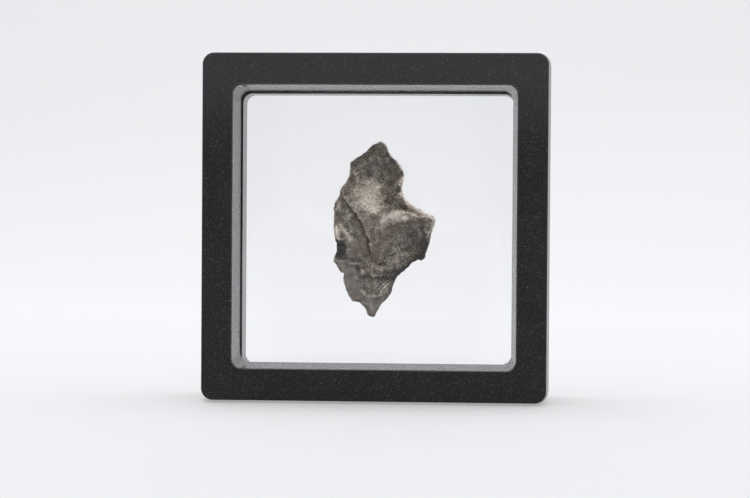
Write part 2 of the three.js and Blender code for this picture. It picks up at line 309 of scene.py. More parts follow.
@dataclass(frozen=True)
class MattPlastic:
    """Black moulded plastic with a spark-eroded grain, dust specks and light rubbing, and a painted sheen that
    lightens the top band of the face as the light from above does.
    """

    colour: Triple = (0.005, 0.005, 0.006)
    rubbed: Triple = (0.045, 0.045, 0.049)
    dust: Triple = (0.30, 0.30, 0.31)
    # Painted sheen: a lighter colour on the top band of the face, between these two heights, for the light from
    # above.
    painted_top_sheen: Triple = (0.055, 0.055, 0.059)
    top_sheen_from: float = 48.0
    top_sheen_to: float = 66.0
    grain_per_mm: float = 2.4
    roughness: float = 0.5

    def specks(self, shop: NodeShop, per_mm: float, size: float) -> Wire:
        """Round specks, 1 inside and 0 outside: cells to the millimetre, and a speck's radius in cells."""
        away = shop.node("ShaderNodeTexVoronoi", {}, {"Vector": shop.place(per_mm), "Scale": 1.0}, "Distance")
        return (1 - away.between(0.3 * size, size)) * shop.noise(0.4 * per_mm, 1).between(0.42, 0.62)

    def material(self) -> bpy.types.Material:
        """Builds the material."""
        material, shop = new_material("black_matt_plastic")
        grain = shop.noise(self.grain_per_mm, 4, 0.7)
        cloud = shop.noise(0.15, 4, 0.6)
        dust = (self.specks(shop, 1.4, 0.13) * 0.8 + self.specks(shop, 2.9, 0.3) * 0.4).clamped()
        where = shop.node("ShaderNodeTexCoord", {}, {}, "Object")
        high = shop.node("ShaderNodeSeparateXYZ", {}, {"Vector": where}, "Z")
        # Painted sheen: the face grows lighter towards its top, broken up by the grain, where the light from
        # above falls.
        top_sheen = high.between(self.top_sheen_from * MM, self.top_sheen_to * MM)
        light = (cloud.between(0.35, 0.75) * 0.15 + grain.between(0.48, 0.7) * 0.8).clamped()
        base = shop.mix(top_sheen * (grain * 0.8 + 0.2), shop.mix(light, self.colour, self.rubbed), self.painted_top_sheen)
        base = shop.mix(dust, base, self.dust)
        rough = cloud.between(0.3, 0.7) * 0.08 + grain.between(0.35, 0.65) * 0.16 + (self.roughness - 0.08)
        bump = shop.node("ShaderNodeBump", {}, {"Height": grain, "Strength": 0.5, "Distance": 0.05 * MM})
        inputs = {"Base Color": base, "Roughness": rough, "Normal": bump, "Specular IOR Level": 0.38}
        shop.principled(inputs)
        return material


@dataclass(frozen=True)
class SmoothPlastic:
    """The same plastic on the window's walls and the outer sides, where the mould was polished."""

    colour: Triple = (0.026, 0.026, 0.028)
    roughness: float = 0.27
    specular: float = 0.85

    def material(self) -> bpy.types.Material:
        """Builds the material."""
        material, shop = new_material("black_smooth_plastic")
        cloud = shop.noise(0.08, 2, 0.5)
        base = shop.mix(cloud.between(0.4, 0.8), self.colour, tuple(1.3 * c for c in self.colour))
        inputs = {"Base Color": base, "Roughness": self.roughness, "Specular IOR Level": self.specular}
        shop.principled(inputs)
        return material


@dataclass(frozen=True)
class ClearFilm:
    """Clear elastic film: see-through, with the mirror share that a plain surface of plastic has."""

    passes: Triple = (0.990, 0.991, 0.992)
    least_mirror: float = 0.014
    roughness: float = 0.06

    def material(self) -> bpy.types.Material:
        """Builds the material: the mirror share grows as the fifth power towards a grazing view."""
        material, shop = new_material("clear_film")
        facing = shop.node("ShaderNodeLayerWeight", {}, {"Blend": 0.5}, "Facing")
        share = facing**5 * (1 - self.least_mirror) + self.least_mirror
        clear = shop.node("ShaderNodeBsdfTransparent", {}, {"Color": (*self.passes, 1.0)})
        gloss = {"Color": (1.0, 1.0, 1.0, 1.0), "Roughness": self.roughness}
        mirror = shop.node("ShaderNodeBsdfAnisotropic", {}, gloss)
        shop.finish(shop.node("ShaderNodeMixShader", {}, {0: share, 1: clear, 2: mirror}))
        return material


@dataclass(frozen=True)
class MeteoriticIron:
    """Natural iron: dark oxidation in the hollows, grey metal on the open ground, bright polished ridges, rust;
    the same dark and bright colours also give painted shade and painted highlights in places.
    """

    oxide_and_shade: Triple = (0.012, 0.010, 0.008)
    ground: Triple = (0.19, 0.163, 0.136)
    worn_and_highlit: Triple = (0.98, 0.87, 0.74)
    rust: Triple = (0.24, 0.145, 0.09)
    hazy: Triple = (0.21, 0.21, 0.20)

    def material(self) -> bpy.types.Material:
        """Builds the material from the piece's tone attribute: brightening (rubbing and painted highlight),
        darkening (oxidation and painted shade) and rust in red, green, blue.
        """
        material, shop = new_material("meteoritic_iron")
        tone = shop.node("ShaderNodeAttribute", {"attribute_name": "tone"}, {}, "Color")
        wear_and_highlight, hollow_and_shade, rust = (shop.node("ShaderNodeSeparateColor", {}, {"Color": tone}, k) for k in range(3))
        mottle = shop.noise(0.9, 4, 0.6)
        grain = shop.noise(3.6, 3, 0.75)
        rugged = shop.node("ShaderNodeAttribute", {"attribute_name": "tone"}, {}, "Alpha")
        fleck = (grain.between(0.34, 0.66) - 0.5) * (rugged * 1.1) + (mottle.between(0.35, 0.65) - 0.5) * 0.28
        dark = (hollow_and_shade - fleck * 0.55 * (1 - wear_and_highlight * 0.8)).clamped()
        bright = (wear_and_highlight + fleck * (wear_and_highlight * 0.4 + 0.38)).clamped()
        # The bright and dark shares carry painted highlights and painted shade from the listed marks, as well as
        # rubbing and oxidation.
        base = shop.mix(bright, self.ground, self.worn_and_highlit)
        base = shop.mix(dark, base, self.oxide_and_shade)
        base = shop.mix((rust * (mottle * 1.2 + 0.2)).clamped(), base, self.rust)
        base = shop.mix((1 - rugged) * 0.6, base, self.hazy)
        metal = ((0.95 - dark * 0.7 - rust * 0.3) * (rugged * 0.6 + 0.4)).clamped()
        rough = (0.44 - bright * 0.1 + dark * 0.3 + (grain - 0.5) * 0.2).clamped()
        lumps = shop.node("ShaderNodeBump", {}, {"Height": mottle, "Strength": 0.5, "Distance": 0.15 * MM})
        bump = {"Height": grain, "Strength": 0.7, "Distance": 0.08 * MM, "Normal": lumps}
        fine = shop.node("ShaderNodeBump", {}, bump)
        inputs = {"Base Color": base, "Metallic": metal, "Roughness": rough, "Normal": fine}
        shop.principled(inputs)
        return material


@dataclass(frozen=True)
class Corner:
    """A corner of the moulding's cross-section: half width of its rounded square, depth and roundings."""

    half: float
    depth: float
    square_corner: float
    rounding: float
    window: bool = False
    taller: float = 0.0


@dataclass
class Mouldings:
    """The two halves of the frame, each a cross-section carried round a rounded square."""

    half_width: float = 34.85
    depth: float = 20.0
    centre_height: float = 34.85
    side_slip: float = 0.15
    back_window_drop: float = 0.6
    face_half: float = 34.0
    face_taller: float = 0.3
    back_window_taller: float = 0.15
    flare_depth: float = 6.0
    window_front_half: float = 28.0
    window_back_half: float = 27.55
    outer_corner: float = 2.3
    window_corner: float = 1.95
    parting_gap: float = 0.01
    lip_half: float = 33.3
    film_step: float = 0.24
    edge_round: float = 0.4
    arc_steps: int = 14
    round_steps: int = 6
    matt: MattPlastic = MattPlastic()
    smooth: SmoothPlastic = SmoothPlastic()

    def corners(self) -> list[Corner]:
        """Corners of the cross-section, from the outer edge of the face round to the window's edge."""
        face = self.depth / 2
        return [
            Corner(self.face_half, face, self.outer_corner, self.edge_round, taller=self.face_taller),
            Corner(self.half_width, face - self.flare_depth, self.outer_corner, 1.2),
            Corner(self.half_width, self.parting_gap, self.outer_corner, 0.15),
            Corner(self.lip_half, self.parting_gap, self.outer_corner / 2, 0.02),
            Corner(self.lip_half, self.film_step, self.outer_corner / 2, 0.02),
            Corner(self.window_back_half, self.film_step, self.window_corner, 0.08, True),
            Corner(self.window_front_half, face, self.window_corner, self.edge_round, True),
        ]

    def section(self) -> tuple[Grid, Grid]:
        """Rounds the corners: each becomes a quadratic curve that starts and ends its rounding away.

        A support point stands just outside each curve, so that flats shade flat.

        Returns:
            Rows of half width, depth, square corner, window share and extra half height, and True for the
            polished rows.
        """
        corners = self.corners()
        points = np.array([[c.half, c.depth, c.square_corner, c.window, c.taller] for c in corners])
        share = np.linspace(0, 1, self.round_steps + 1)[:, None]
        rows, walls = [], []
        for index, corner in enumerate(corners):
            here, back, ahead = points[index], points[index - 1], points[(index + 1) % len(points)]
            to_back = (back - here) / np.hypot(*(back - here)[:2])
            to_ahead = (ahead - here) / np.hypot(*(ahead - here)[:2])
            start, end = here + to_back * corner.rounding, here + to_ahead * corner.rounding
            curve = start * (1 - share) ** 2 + 2 * here * share * (1 - share) + end * share**2
            support = 0.06
            rows += [start[None] + to_back * support, curve, end[None] + to_ahead * support]
            past_middle = np.r_[0.0, share[:, 0], 1.0] > 0.5
            starts, ends, inside = index in (0, 5), index in (2, 6), index == 1
            walls.append((starts & past_middle) | (ends & ~past_middle) | inside)
        return np.concatenate(rows), np.concatenate(walls)

    def path(self, half: Grid, corner: Grid) -> Grid:
        """Rounded squares: arcs about the corners' centres, joined by straights with two support points.

        Args:
            half: Half width of each square.
            corner: Its corner radius.

        Returns:
            Points x + iz, one square to a row.
        """
        inner, corner = (half - corner)[:, None], corner[:, None]
        runs = []
        for quarter in range(4):
            angle = quarter * np.pi / 2 + np.linspace(0, np.pi / 2, self.arc_steps + 1)
            arc = (1 + 1j) * 1j**quarter * inner + corner * np.exp(1j * angle)
            straight = 2 * inner * np.array([0.01, 0.99])
            runs += [arc, arc[:, -1:] + 1j ** (quarter + 2) * straight]
        return np.concatenate(runs, axis=1)

    def build(self, side: Side) -> None:
        """Builds one moulding.

        Args:
            side: Which half.
        """
        section, walls = self.section()
        half, depth, corner, window, taller = section.T
        square = self.path(half, corner)
        drop, extra = (self.back_window_drop, self.back_window_taller) if side is Side.BACK else (0.0, 0.0)
        x, z = square.real + side.value * self.side_slip, square.imag
        z = z + np.sign(z) * (taller + extra * window)[:, None] + self.centre_height - drop * window[:, None]
        y = np.repeat(side.value * depth[:, None], x.shape[1], axis=1)
        ids = np.pad(np.arange(x.size).reshape(x.shape), (0, 1), mode="wrap")
        points = np.stack([x, y, z], axis=-1).reshape(-1, 3)
        word = side.name.lower()
        piece = make_piece(f"{word}_moulding", points, grid_faces(ids))
        dress(piece, f"{word}_frame", "frame", self.matt.material(), self.smooth.material())
        slots = np.repeat(walls.astype(np.int32), x.shape[1])
        piece.data.polygons.foreach_set("material_index", slots)


@dataclass(frozen=True)
class Oval:
    """A turned oval on a face: its middle, its reach along and across, and its turn in degrees."""

    name: str
    at: tuple[float, float]
    reach: tuple[float, float]
    turn: float

    def squares(self, u: Grid, v: Grid) -> tuple[Grid, Grid]:
        """Squares of the offsets along and across the oval, over its reaches.

        Args:
            u, v: Coordinates of each point.

        Returns:
            The two squares at each point.
        """
        angle = math.radians(self.turn)
        du, dv = u - self.at[0], v - self.at[1]
        along = du * math.cos(angle) + dv * math.sin(angle)
        across = dv * math.cos(angle) - du * math.sin(angle)
        return (along / self.reach[0]) ** 2, (across / self.reach[1]) ** 2


@dataclass(frozen=True)
class Bowl(Oval):
    """A dip whose floor rises by 1 mm at its reach, as a paraboloid does."""

    floor: float

    def height(self, u: Grid, v: Grid) -> Grid:
        """Height of the paraboloid: floor plus the two squares."""
        return self.floor + sum(self.squares(u, v))


@dataclass(frozen=True)
class Patch(Oval):
    """A soft oval of brightening, darkening, rust, smoothness or pits; the brightening and darkening stand for
    rubbing and oxidation, and in some patches for painted highlight and painted shade.
    """

    wear_and_highlight: float = 0.0
    hollow_and_shade: float = 0.0
    rust: float = 0.0
    smooth: float = 0.0
    pits: float = 0.0

    def share(self, u: Grid, v: Grid) -> Grid:
        """Exponential of minus the sum of the two squares."""
        return np.exp(-sum(self.squares(u, v)))


@dataclass(frozen=True)
class Trail:
    """A path of straight runs on a face, with the half width of what lies along it."""

    name: str
    path: Path
    width: float

    def share(self, u: Grid, v: Grid) -> Grid:
        """Exponential of minus the square of distance over width."""
        return np.exp(-((near_path(u, v, self.path)[0] / self.width) ** 2))


@dataclass(frozen=True)
class Ridge(Trail):
    """A raised line, or a groove where its height is negative, with a bell-shaped section."""

    height: float


@dataclass(frozen=True)
class Line(Trail):
    """A soft line of brightening, darkening or rust; the brightening and darkening stand for rubbing and
    oxidation, and in some lines for painted highlight and painted shade.
    """

    wear_and_highlight: float = 0.0
    hollow_and_shade: float = 0.0
    rust: float = 0.0


@dataclass(frozen=True)
class Step(Trail):
    """A drop of the ground on the left of a path, which fades out past the path's ends."""

    drop: float
    fade: float

    def fall(self, u: Grid, v: Grid) -> Grid:
        """Drop times a smooth step across the path, faded past its ends and slowly away from it.

        Args:
            u, v: Coordinates of each point.

        Returns:
            How far the ground falls at each point.
        """
        distance, side, beyond = near_path(u, v, self.path)
        past = side * distance
        fade = np.exp(-((beyond / self.fade) ** 2)) * np.exp(-np.maximum(past, 0) / 9)
        return self.drop * smooth_step(past, 0, self.width) * fade


OUTLINE = (
    (412.2, 262.2), (418.5, 259), (421.3, 260.4), (425, 257.4), (426.8, 250.1), (429.8, 241.6),
    (431.6, 231.9), (434.7, 224.7), (435.5, 218.6), (431.6, 214.4), (425.6, 211.9), (417.1, 207.7),
    (409.8, 202.9), (404.4, 196.8), (401.9, 189.5), (402.5, 183.5), (404.4, 177.4), (404.4, 171.4),
    (400.1, 164.1), (394.1, 158), (389.2, 152), (385.6, 143.5), (381.3, 141.1), (377.1, 142.3),
    (371, 145.3), (366.8, 150.1), (362.6, 153.8), (355.3, 157.4), (349.8, 162.3), (349.8, 168.9),
    (348.6, 176.2), (345, 182.3), (340.1, 188.3), (338.9, 195.6), (335.3, 201.6), (333.5, 207.7),
    (334.1, 217.4), (333.5, 227.1), (334.1, 235.6), (336.5, 242.8), (336.5, 251.3), (333.7, 256.2),
    (333.2, 261), (337.1, 266.5), (340.1, 271.9), (343.8, 273.1), (342.6, 279.2), (345, 287.7),
    (348, 294.9), (351.7, 300.4), (360.1, 302.8), (365.6, 308.3), (367.4, 314.3), (371.7, 317),
    (374.7, 316.2), (377.1, 310.7), (382, 302.8), (388, 297.4), (391.6, 291.3), (394.1, 281.6),
    (397.7, 275.6), (405, 269.5),
)
OUTLINE_MIDDLE = (380, 230)
OUTLINE_TOP = 141.1
OUTLINE_BOTTOM = 317

FRONT_BOWLS = (
    Bowl("upper bowl", (-1, 10.4), (4.8, 4.6), -20, 1.5),
    Bowl("right scoop", (4.3, -2.7), (4.8, 2.6), 38, 0.8),
    Bowl("left pocket", (-8, -3.7), (1.3, 1.6), 0, 0.5),
    Bowl("lower scoop", (-0.8, -10.7), (2.8, 2.2), 8, 1.2),
    Bowl("right valley", (4.6, 8.6), (1.6, 3.6), -10, 1.7),
)
CRACK = ((-2.1, -3.2), (-2.5, -1.6), (-3.3, 0.1), (-4.1, 1.8), (-5.1, 3.6), (-6.1, 4.6), (-6.6, 5.6))
RIDGES = (
    Ridge("cross ridge", ((0.4, 2.1), (3.6, 3.7), (6.1, 3.6), (10.6, 2.4)), 0.7, 0.6),
    Ridge("right rim", ((3.9, 7.3), (5, 6), (7.5, 4), (10.6, 2.4)), 0.5, 0.6),
    Ridge("middle rib", ((-0.6, 1.1), (-0.6, -2.4)), 0.5, 0.2),
    Ridge("left rib", ((-8, 1.1), (-5.7, -1.9)), 0.7, 0.5),
    Ridge("pitted ridge", ((-3.6, -8.4), (-1.2, -7.6), (2.6, -7.4)), 0.9, 0.5),
    Ridge("lower rim", ((-3.5, -12.5), (-2.6, -13.5), (-0.8, -13.3), (1.6, -12.2)), 0.6, 0.35),
    Ridge("ledge groove", ((-7.6, -5.6), (-3.8, -5.9)), 0.7, -0.4),
    Ridge("flap groove", ((8.6, 1), (8.9, -0.8), (8.4, -2.4), (8.7, -4.6)), 0.35, -0.35),
    Ridge("crack line", CRACK[:-1], 0.16, -0.5),
    Ridge("lip of the ring", ((3.5, 7), (3.9, 7.7), (4.3, 7.2), (4, 6.6)), 0.18, 0.3),
    Ridge("streak one", ((0.3, -12.3), (2, -10.6)), 0.16, 0.12),
    Ridge("streak two", ((-0.1, -11.8), (1.2, -10.6)), 0.14, 0.1),
    Ridge("flap rib", ((10.8, 1.2), (10.1, -0.2), (9.4, -1.6)), 0.2, 0.3),
    Ridge("upper seam", ((-4.8, 11.6), (-3, 12)), 0.12, 0.15),
)
STEPS = (
    Step("crack", CRACK, 0.3, 0.8, 1.6),
    Step("ledge", ((4.2, -9), (0.5, -9.2), (-3.4, -8.9), (-4, -6.6), (-9.4, -5.7)), 0.9, 0.7, 1.5),
)
LINES = (
    # The bright lines along the right edges are rubbed metal and painted highlights, where the rims catch the
    # light.
    Line("plate's right edge", ((1.7, 15.9), (2.7, 14.6), (3.9, 13.4), (4.8, 11.9), (4.8, 10.6)), 0.22, wear_and_highlight=1.3),
    Line("waist", ((4.6, 10.6), (4.3, 9.4), (4.25, 8.2), (4.7, 6.8), (5.8, 5.5)), 0.24, wear_and_highlight=1.3),
    Line("right rim", ((5.6, 5.2), (7.3, 4.2), (9.1, 3.4), (10.8, 2.5)), 0.4, wear_and_highlight=1.1),
    Line("valley", ((4.4, 5.4), (6.2, 4.3), (8.4, 3.2)), 0.35, hollow_and_shade=0.35, rust=0.25),
    # Painted highlight along the top of the cross ridge, which faces up to the light, and painted shade under it,
    # together with rust.
    Line("cross ridge", ((1, 2.6), (3.4, 3.2), (6.4, 2.8), (9.6, 2.1)), 0.9, wear_and_highlight=0.4),
    Line("under the cross ridge", ((1.4, 0.4), (4.6, 1.5), (9, 1.7)), 0.35, hollow_and_shade=0.5, rust=0.3),
    Line("left edge", ((-8, 5.6), (-8.9, 4.2), (-9.1, 2.4), (-9, 0.6), (-8.8, -1.2)), 0.25, wear_and_highlight=0.4),
    Line("upper left edge", ((-6, 13.8), (-6.3, 11.4), (-7.3, 9.4), (-8.3, 7.7), (-8.9, 6)), 0.45, wear_and_highlight=0.3),
    Line("left rib", ((-8, 0.6), (-6.9, -0.6), (-5.7, -2)), 0.4, wear_and_highlight=0.5),
    Line("middle rib", ((-0.5, 1), (-0.55, 0), (-0.5, -1.6)), 0.3, wear_and_highlight=0.15),
    Line("crack", CRACK[:-1], 0.2, hollow_and_shade=1.1),
    Line("rust beside the crack", ((-2.8, -2.4), (-4, 0.8), (-5.6, 4)), 0.5, rust=0.3),
    Line("crack flecks", ((-6.3, 4.7), (-5.8, 4.3), (-5.2, 3.4)), 0.16, wear_and_highlight=0.6),
    Line("upper seam", ((-4.8, 11.7), (-3.9, 11.75), (-3, 12)), 0.12, wear_and_highlight=0.45),
    Line("scratch one", ((-2.6, 4.5), (-1.6, 4.9), (-0.2, 4.6)), 0.1, wear_and_highlight=0.9),
    Line("scratch two", ((-2.2, 3.3), (-1, 3.8), (0.3, 4.1)), 0.1, wear_and_highlight=0.9),
    Line("scratch three", ((-1.9, 5.4), (-1.2, 4.2), (-0.6, 3.2)), 0.1, wear_and_highlight=0.8),
    Line("scratch four", ((0.1, 7.2), (1, 6.6), (1.8, 6.7)), 0.1, wear_and_highlight=0.8),
    Line("scratch five", ((0.4, 6), (1.3, 7.4)), 0.1, wear_and_highlight=0.7),
    Line("ring", ((3.4, 7.1), (3.8, 7.7), (4.3, 7.3), (4.1, 6.6), (3.6, 6.5), (3.4, 7.1)), 0.12, wear_and_highlight=0.7),
    Line("streak one", ((0.3, -12.3), (2, -10.6)), 0.12, wear_and_highlight=0.9),
    Line("streak two", ((-0.1, -11.8), (1.2, -10.6)), 0.1, wear_and_highlight=0.7),
    Line("streak three", ((0.7, -12.5), (2.2, -11.2)), 0.08, wear_and_highlight=0.5),
    Line("lower rim", ((-3.6, -12), (-2.9, -13.2), (-1.6, -13.5), (0.4, -12.9)), 0.25, wear_and_highlight=0.3),
    Line("flap", ((10.9, 1.6), (10.2, 0), (9.5, -1.4)), 0.35, wear_and_highlight=0.6),
    Line("knob rim", ((-9.3, -5.6), (-9.5, -6.6), (-8.9, -7.4)), 0.2, wear_and_highlight=0.5),
    Line("left plate edge", ((-7.5, -9.6), (-7.2, -11.2), (-6.4, -13.2)), 0.18, wear_and_highlight=0.3),
    Line("lower right edge", ((8.2, -5.4), (6.5, -6.7), (4.9, -7.8), (3.4, -9.8)), 0.75, hollow_and_shade=1.1),
    Line("flap's edge", ((9.4, -2), (9, -4.2), (8.6, -6.2)), 0.45, hollow_and_shade=1.1),
    # Painted shadow down the left notch and along the ledge below it.
    Line("left notch", ((-8.8, -2), (-8.6, -3.6), (-8.2, -5.2)), 0.4, hollow_and_shade=0.9),
    Line("ledge shade", ((-8.2, -5.4), (-6, -5.9), (-3.8, -6)), 0.5, hollow_and_shade=0.4),
)
BACK_BOWLS = (
    Bowl("top thumbprint", (0.4, 11.4), (4, 3.2), 25, 1.5),
    Bowl("middle thumbprint", (-3.6, 3.6), (3.2, 4.2), 10, 1.3),
    Bowl("right thumbprint", (5.2, 0.6), (4.2, 2.8), -15, 1.2),
    Bowl("lower thumbprint", (-2.2, -5.6), (4.2, 2.8), 30, 1.4),
    Bowl("tip thumbprint", (-1.4, -13), (2.4, 2.8), 0, 1),
)
LUMPS = ((4.3, 25, 0.12, 0.3), (3.1, 100, 0.1, 1.9), (2.2, 160, 0.07, 4.1), (1.7, 60, 0.05, 2.6))
PATCHES = (
    Patch("summit", (0.3, 17.5), (0.7, 0.5), 0, wear_and_highlight=0.5),
    Patch("upper plate", (0.4, 13.4), (4.6, 3.6), 0, hollow_and_shade=0.2, smooth=0.25),
    Patch("plate's right side", (3, 10.6), (1.6, 2.4), 0, hollow_and_shade=0.2, rust=0.15),
    # Painted highlight on the part of the upper bowl that faces up to the light.
    Patch("bright bowl", (-2, 7.3), (2.2, 3), -30, wear_and_highlight=1.05),
    Patch("bowl's left side", (-4.4, 8.4), (1.2, 2.2), -15, wear_and_highlight=0.2),
    Patch("scratched bowl", (-1.1, 4.6), (2.2, 1.3), 5, wear_and_highlight=0.45),
    Patch("dark bowl side", (1.7, 6.7), (1.9, 1.5), -20, hollow_and_shade=0.35, rust=0.2, pits=0.8),
    # Painted highlight on the ridge top, which faces up to the light.
    Patch("ridge top", (3.8, 3), (3.4, 1.2), 8, wear_and_highlight=0.55, smooth=0.3),
    Patch("foot of the ridge", (1.2, 1.6), (1.6, 1.6), 20, wear_and_highlight=0.3, smooth=0.2),
    Patch("centre", (-1.8, 0.8), (1.4, 2.6), 20, wear_and_highlight=0.05, rust=0.25, smooth=0.2),
    # Painted shade on the scoop's upper wall under the ridge, which faces down, together with rust.
    Patch("scoop wall", (2.6, -0.2), (2.8, 0.8), 25, hollow_and_shade=0.45, rust=0.4, smooth=0.2),
    Patch("scoop", (6.4, 0.4), (2.2, 1.6), 0, hollow_and_shade=0.15),
    Patch("right flank", (7.7, -3.2), (1.5, 3), 0, hollow_and_shade=0.75),
    Patch("scoop floor", (3.4, -4.6), (3, 1.8), 20, wear_and_highlight=0.22, pits=1),
    Patch("left lobe", (-6.8, 2), (1.8, 2.8), 0, wear_and_highlight=0.2, smooth=0.15),
    Patch("reddish spot", (-4.4, -3.1), (1.5, 0.9), 0, wear_and_highlight=0.2, rust=0.8, smooth=0.4),
    Patch("foot of the crack", (-1.4, -4.6), (2, 1.6), 0, hollow_and_shade=0.35, rust=0.45),
    # Painted shadow in the pocket by the left notch and on its floor.
    Patch("pocket", (-7.9, -3.5), (1.1, 1.5), 10, hollow_and_shade=0.6),
    Patch("pocket floor", (-7.2, -4.7), (1.2, 0.7), 0, hollow_and_shade=0.3),
    Patch("pitted ridge", (-1.2, -7.4), (3.2, 1.3), 4, wear_and_highlight=0.1, rust=0.1, pits=1),
    Patch("right of the ridge", (2.4, -8.8), (2.1, 0.9), 25, hollow_and_shade=0.75),
    Patch("lumps by the edge", (3.9, -7.6), (0.6, 0.6), 0, wear_and_highlight=0.35),
    Patch("lower scoop", (-0.8, -11), (1.8, 1.3), 8, wear_and_highlight=0.14, smooth=0.3),
    Patch("lower left plate", (-6, -9.8), (2.6, 3.6), 0, wear_and_highlight=0.17, smooth=1),
    Patch("light spot", (-1.6, -15.5), (0.3, 0.3), 0, wear_and_highlight=0.5),
    # Painted glint: this bright patch on the left edge stands for light that the film reflects there.
    Patch("left facet", (-8.9, -0.6), (0.75, 1.1), 10, wear_and_highlight=1.6),
    Patch("tip", (-1.7, -15.4), (2.6, 2.3), 0, wear_and_highlight=0.17, smooth=1),
)


@dataclass
class Meteorite:
    """The meteorite: two square grids stretched out to its outline, which share their edge."""

    height: float = 35.75
    centre: Triple = (0.66, 0.0, 34.25)
    turn: float = 0.4
    cells: int = 196
    edge_width: float = 0.7
    blend: float = 0.35
    least_half: float = 0.35
    back_lump_shift: float = 7.3
    outline_runs: int = 400
    finish: MeteoriticIron = MeteoriticIron()

    def rim(self, share: Grid) -> Grid:
        """Points of the outline at shares of its length, made a little jagged along the radius.

        Args:
            share: Shares from 0 to 1, anticlockwise from the lower right.

        Returns:
            One point to a row, in millimetres about the middle.
        """
        scale = self.height / (OUTLINE_BOTTOM - OUTLINE_TOP)
        x, y = (np.array([*OUTLINE, OUTLINE[0]]) - OUTLINE_MIDDLE).T * scale
        turned = (x - 1j * y) * np.exp(1j * math.radians(self.turn))
        closed = np.stack([turned.real, turned.imag], axis=1)
        run = np.r_[0, np.cumsum(np.hypot(*np.diff(closed, axis=0).T))]
        at = (share % 1) * run[-1]
        soften = 0.18
        found = np.zeros((len(share), 2))
        for offset in (-1, -0.5, 0, 0.5, 1):
            there = (at + offset * soften) % run[-1]
            found += np.stack([np.interp(there, run, closed[:, k]) for k in (0, 1)], axis=1) / 5
        rough = 0.12 * noise(at / 1.1, 0 * at, 5) + 0.08 * noise(at / 0.45, 0 * at, 6)
        return found * (1 + rough / np.hypot(*found.T))[:, None]

    def lower(self, first: Grid, second: Grid) -> Grid:
        """The lower of two heights, rounded where they meet."""
        near = np.maximum(self.blend - np.abs(first - second), 0) / self.blend
        return np.minimum(first, second) - near * near * self.blend / 4

    def lumps(self, u: Grid, v: Grid) -> Grid:
        """Waves laid over each other: a sine along each direction times a cosine across it.

        Args:
            u, v: Coordinates of each point.

        Returns:
            Their height.
        """
        total = np.zeros_like(u)
        for length, turn, height, start in LUMPS:
            angle = math.radians(turn)
            along = (u * math.cos(angle) + v * math.sin(angle)) / length
            across = (v * math.cos(angle) - u * math.sin(angle)) / length
            total += height * np.sin(2 * np.pi * along + start) * np.cos(4.4 * across + start)
        return total

    def grain(self, u: Grid, v: Grid, seed: int) -> Grid:
        """Fine relief: four octaves of noise, less the pits.

        Args:
            u, v: Coordinates of each point.
            seed: Picks another noise.

        Returns:
            Its height.
        """
        smooth = 1 - 0.8 * sum(patch.smooth * patch.share(u, v) for patch in PATCHES).clip(0, 1)
        total = -self.pits(u, v, seed)
        for octave, (length, height) in enumerate(((2.1, 0.12), (1.1, 0.07), (0.55, 0.04), (0.3, 0.02))):
            total += height * noise(u / length + 31, v / length + 17, seed + octave)
        return total * smooth

    def pits(self, u: Grid, v: Grid, seed: int) -> Grid:
        """Depth of two sizes of pit, which are deeper where the skin is pitted.

        Args:
            u, v: Coordinates of each point.
            seed: Picks other pits.

        Returns:
            The depth.
        """
        pitted = 0.1 + sum(patch.pits * patch.share(u, v) for patch in PATCHES).clip(0, 1)
        large = 1 - smooth_step(nearest_seed(u / 1.2, v / 1.2, seed + 20), 0.05, 0.36)
        small = 1 - smooth_step(nearest_seed(u / 0.6, v / 0.6, seed + 30), 0.08, 0.34)
        return pitted * (0.13 * large + 0.12 * small)

    def bent(self, u: Grid, v: Grid) -> tuple[Grid, Grid]:
        """Shifts points a little with noise, so that ridges and lines waver.

        Args:
            u, v: Coordinates of each point.

        Returns:
            The shifted coordinates.
        """
        shift_u, shift_v = (
            0.35 * noise(u / 1.5 + start, v / 1.5, seed) + 0.14 * noise(u / 0.6, v / 0.6, seed + 2)
            for start, seed in ((0, 71), (40, 72))
        )
        return u + shift_u, v + shift_v

    def front_height(self, u: Grid, v: Grid) -> Grid:
        """Height of the front face out from the parting plane, away from the outline.

        Args:
            u, v: Coordinates of each point.

        Returns:
            The height.
        """
        height = self.lower(3.6 - 0.012 * u * u - 0.006 * v * v, 2.5 + 0.05 * (v - 13))
        for bowl in FRONT_BOWLS:
            height = self.lower(height, bowl.height(u, v))
        bent_u, bent_v = self.bent(u, v)
        for step in STEPS:
            height = height - step.fall(bent_u, bent_v)
        for ridge in RIDGES:
            height = height + ridge.height * ridge.share(bent_u, bent_v)
        return np.maximum(height + self.lumps(u, v), self.least_half) + self.grain(u, v, 11)

    def back_height(self, u: Grid, v: Grid) -> Grid:
        """Height of the back face out from the parting plane, away from the outline.

        Args:
            u, v: Coordinates of each point.

        Returns:
            The height.
        """
        height = 3.3 - 0.016 * u * u - 0.006 * v * v
        for bowl in BACK_BOWLS:
            height = self.lower(height, bowl.height(u, v))
        height = height + self.lumps(u + self.back_lump_shift, v)
        return np.maximum(height, self.least_half) + self.grain(u, v, 51)

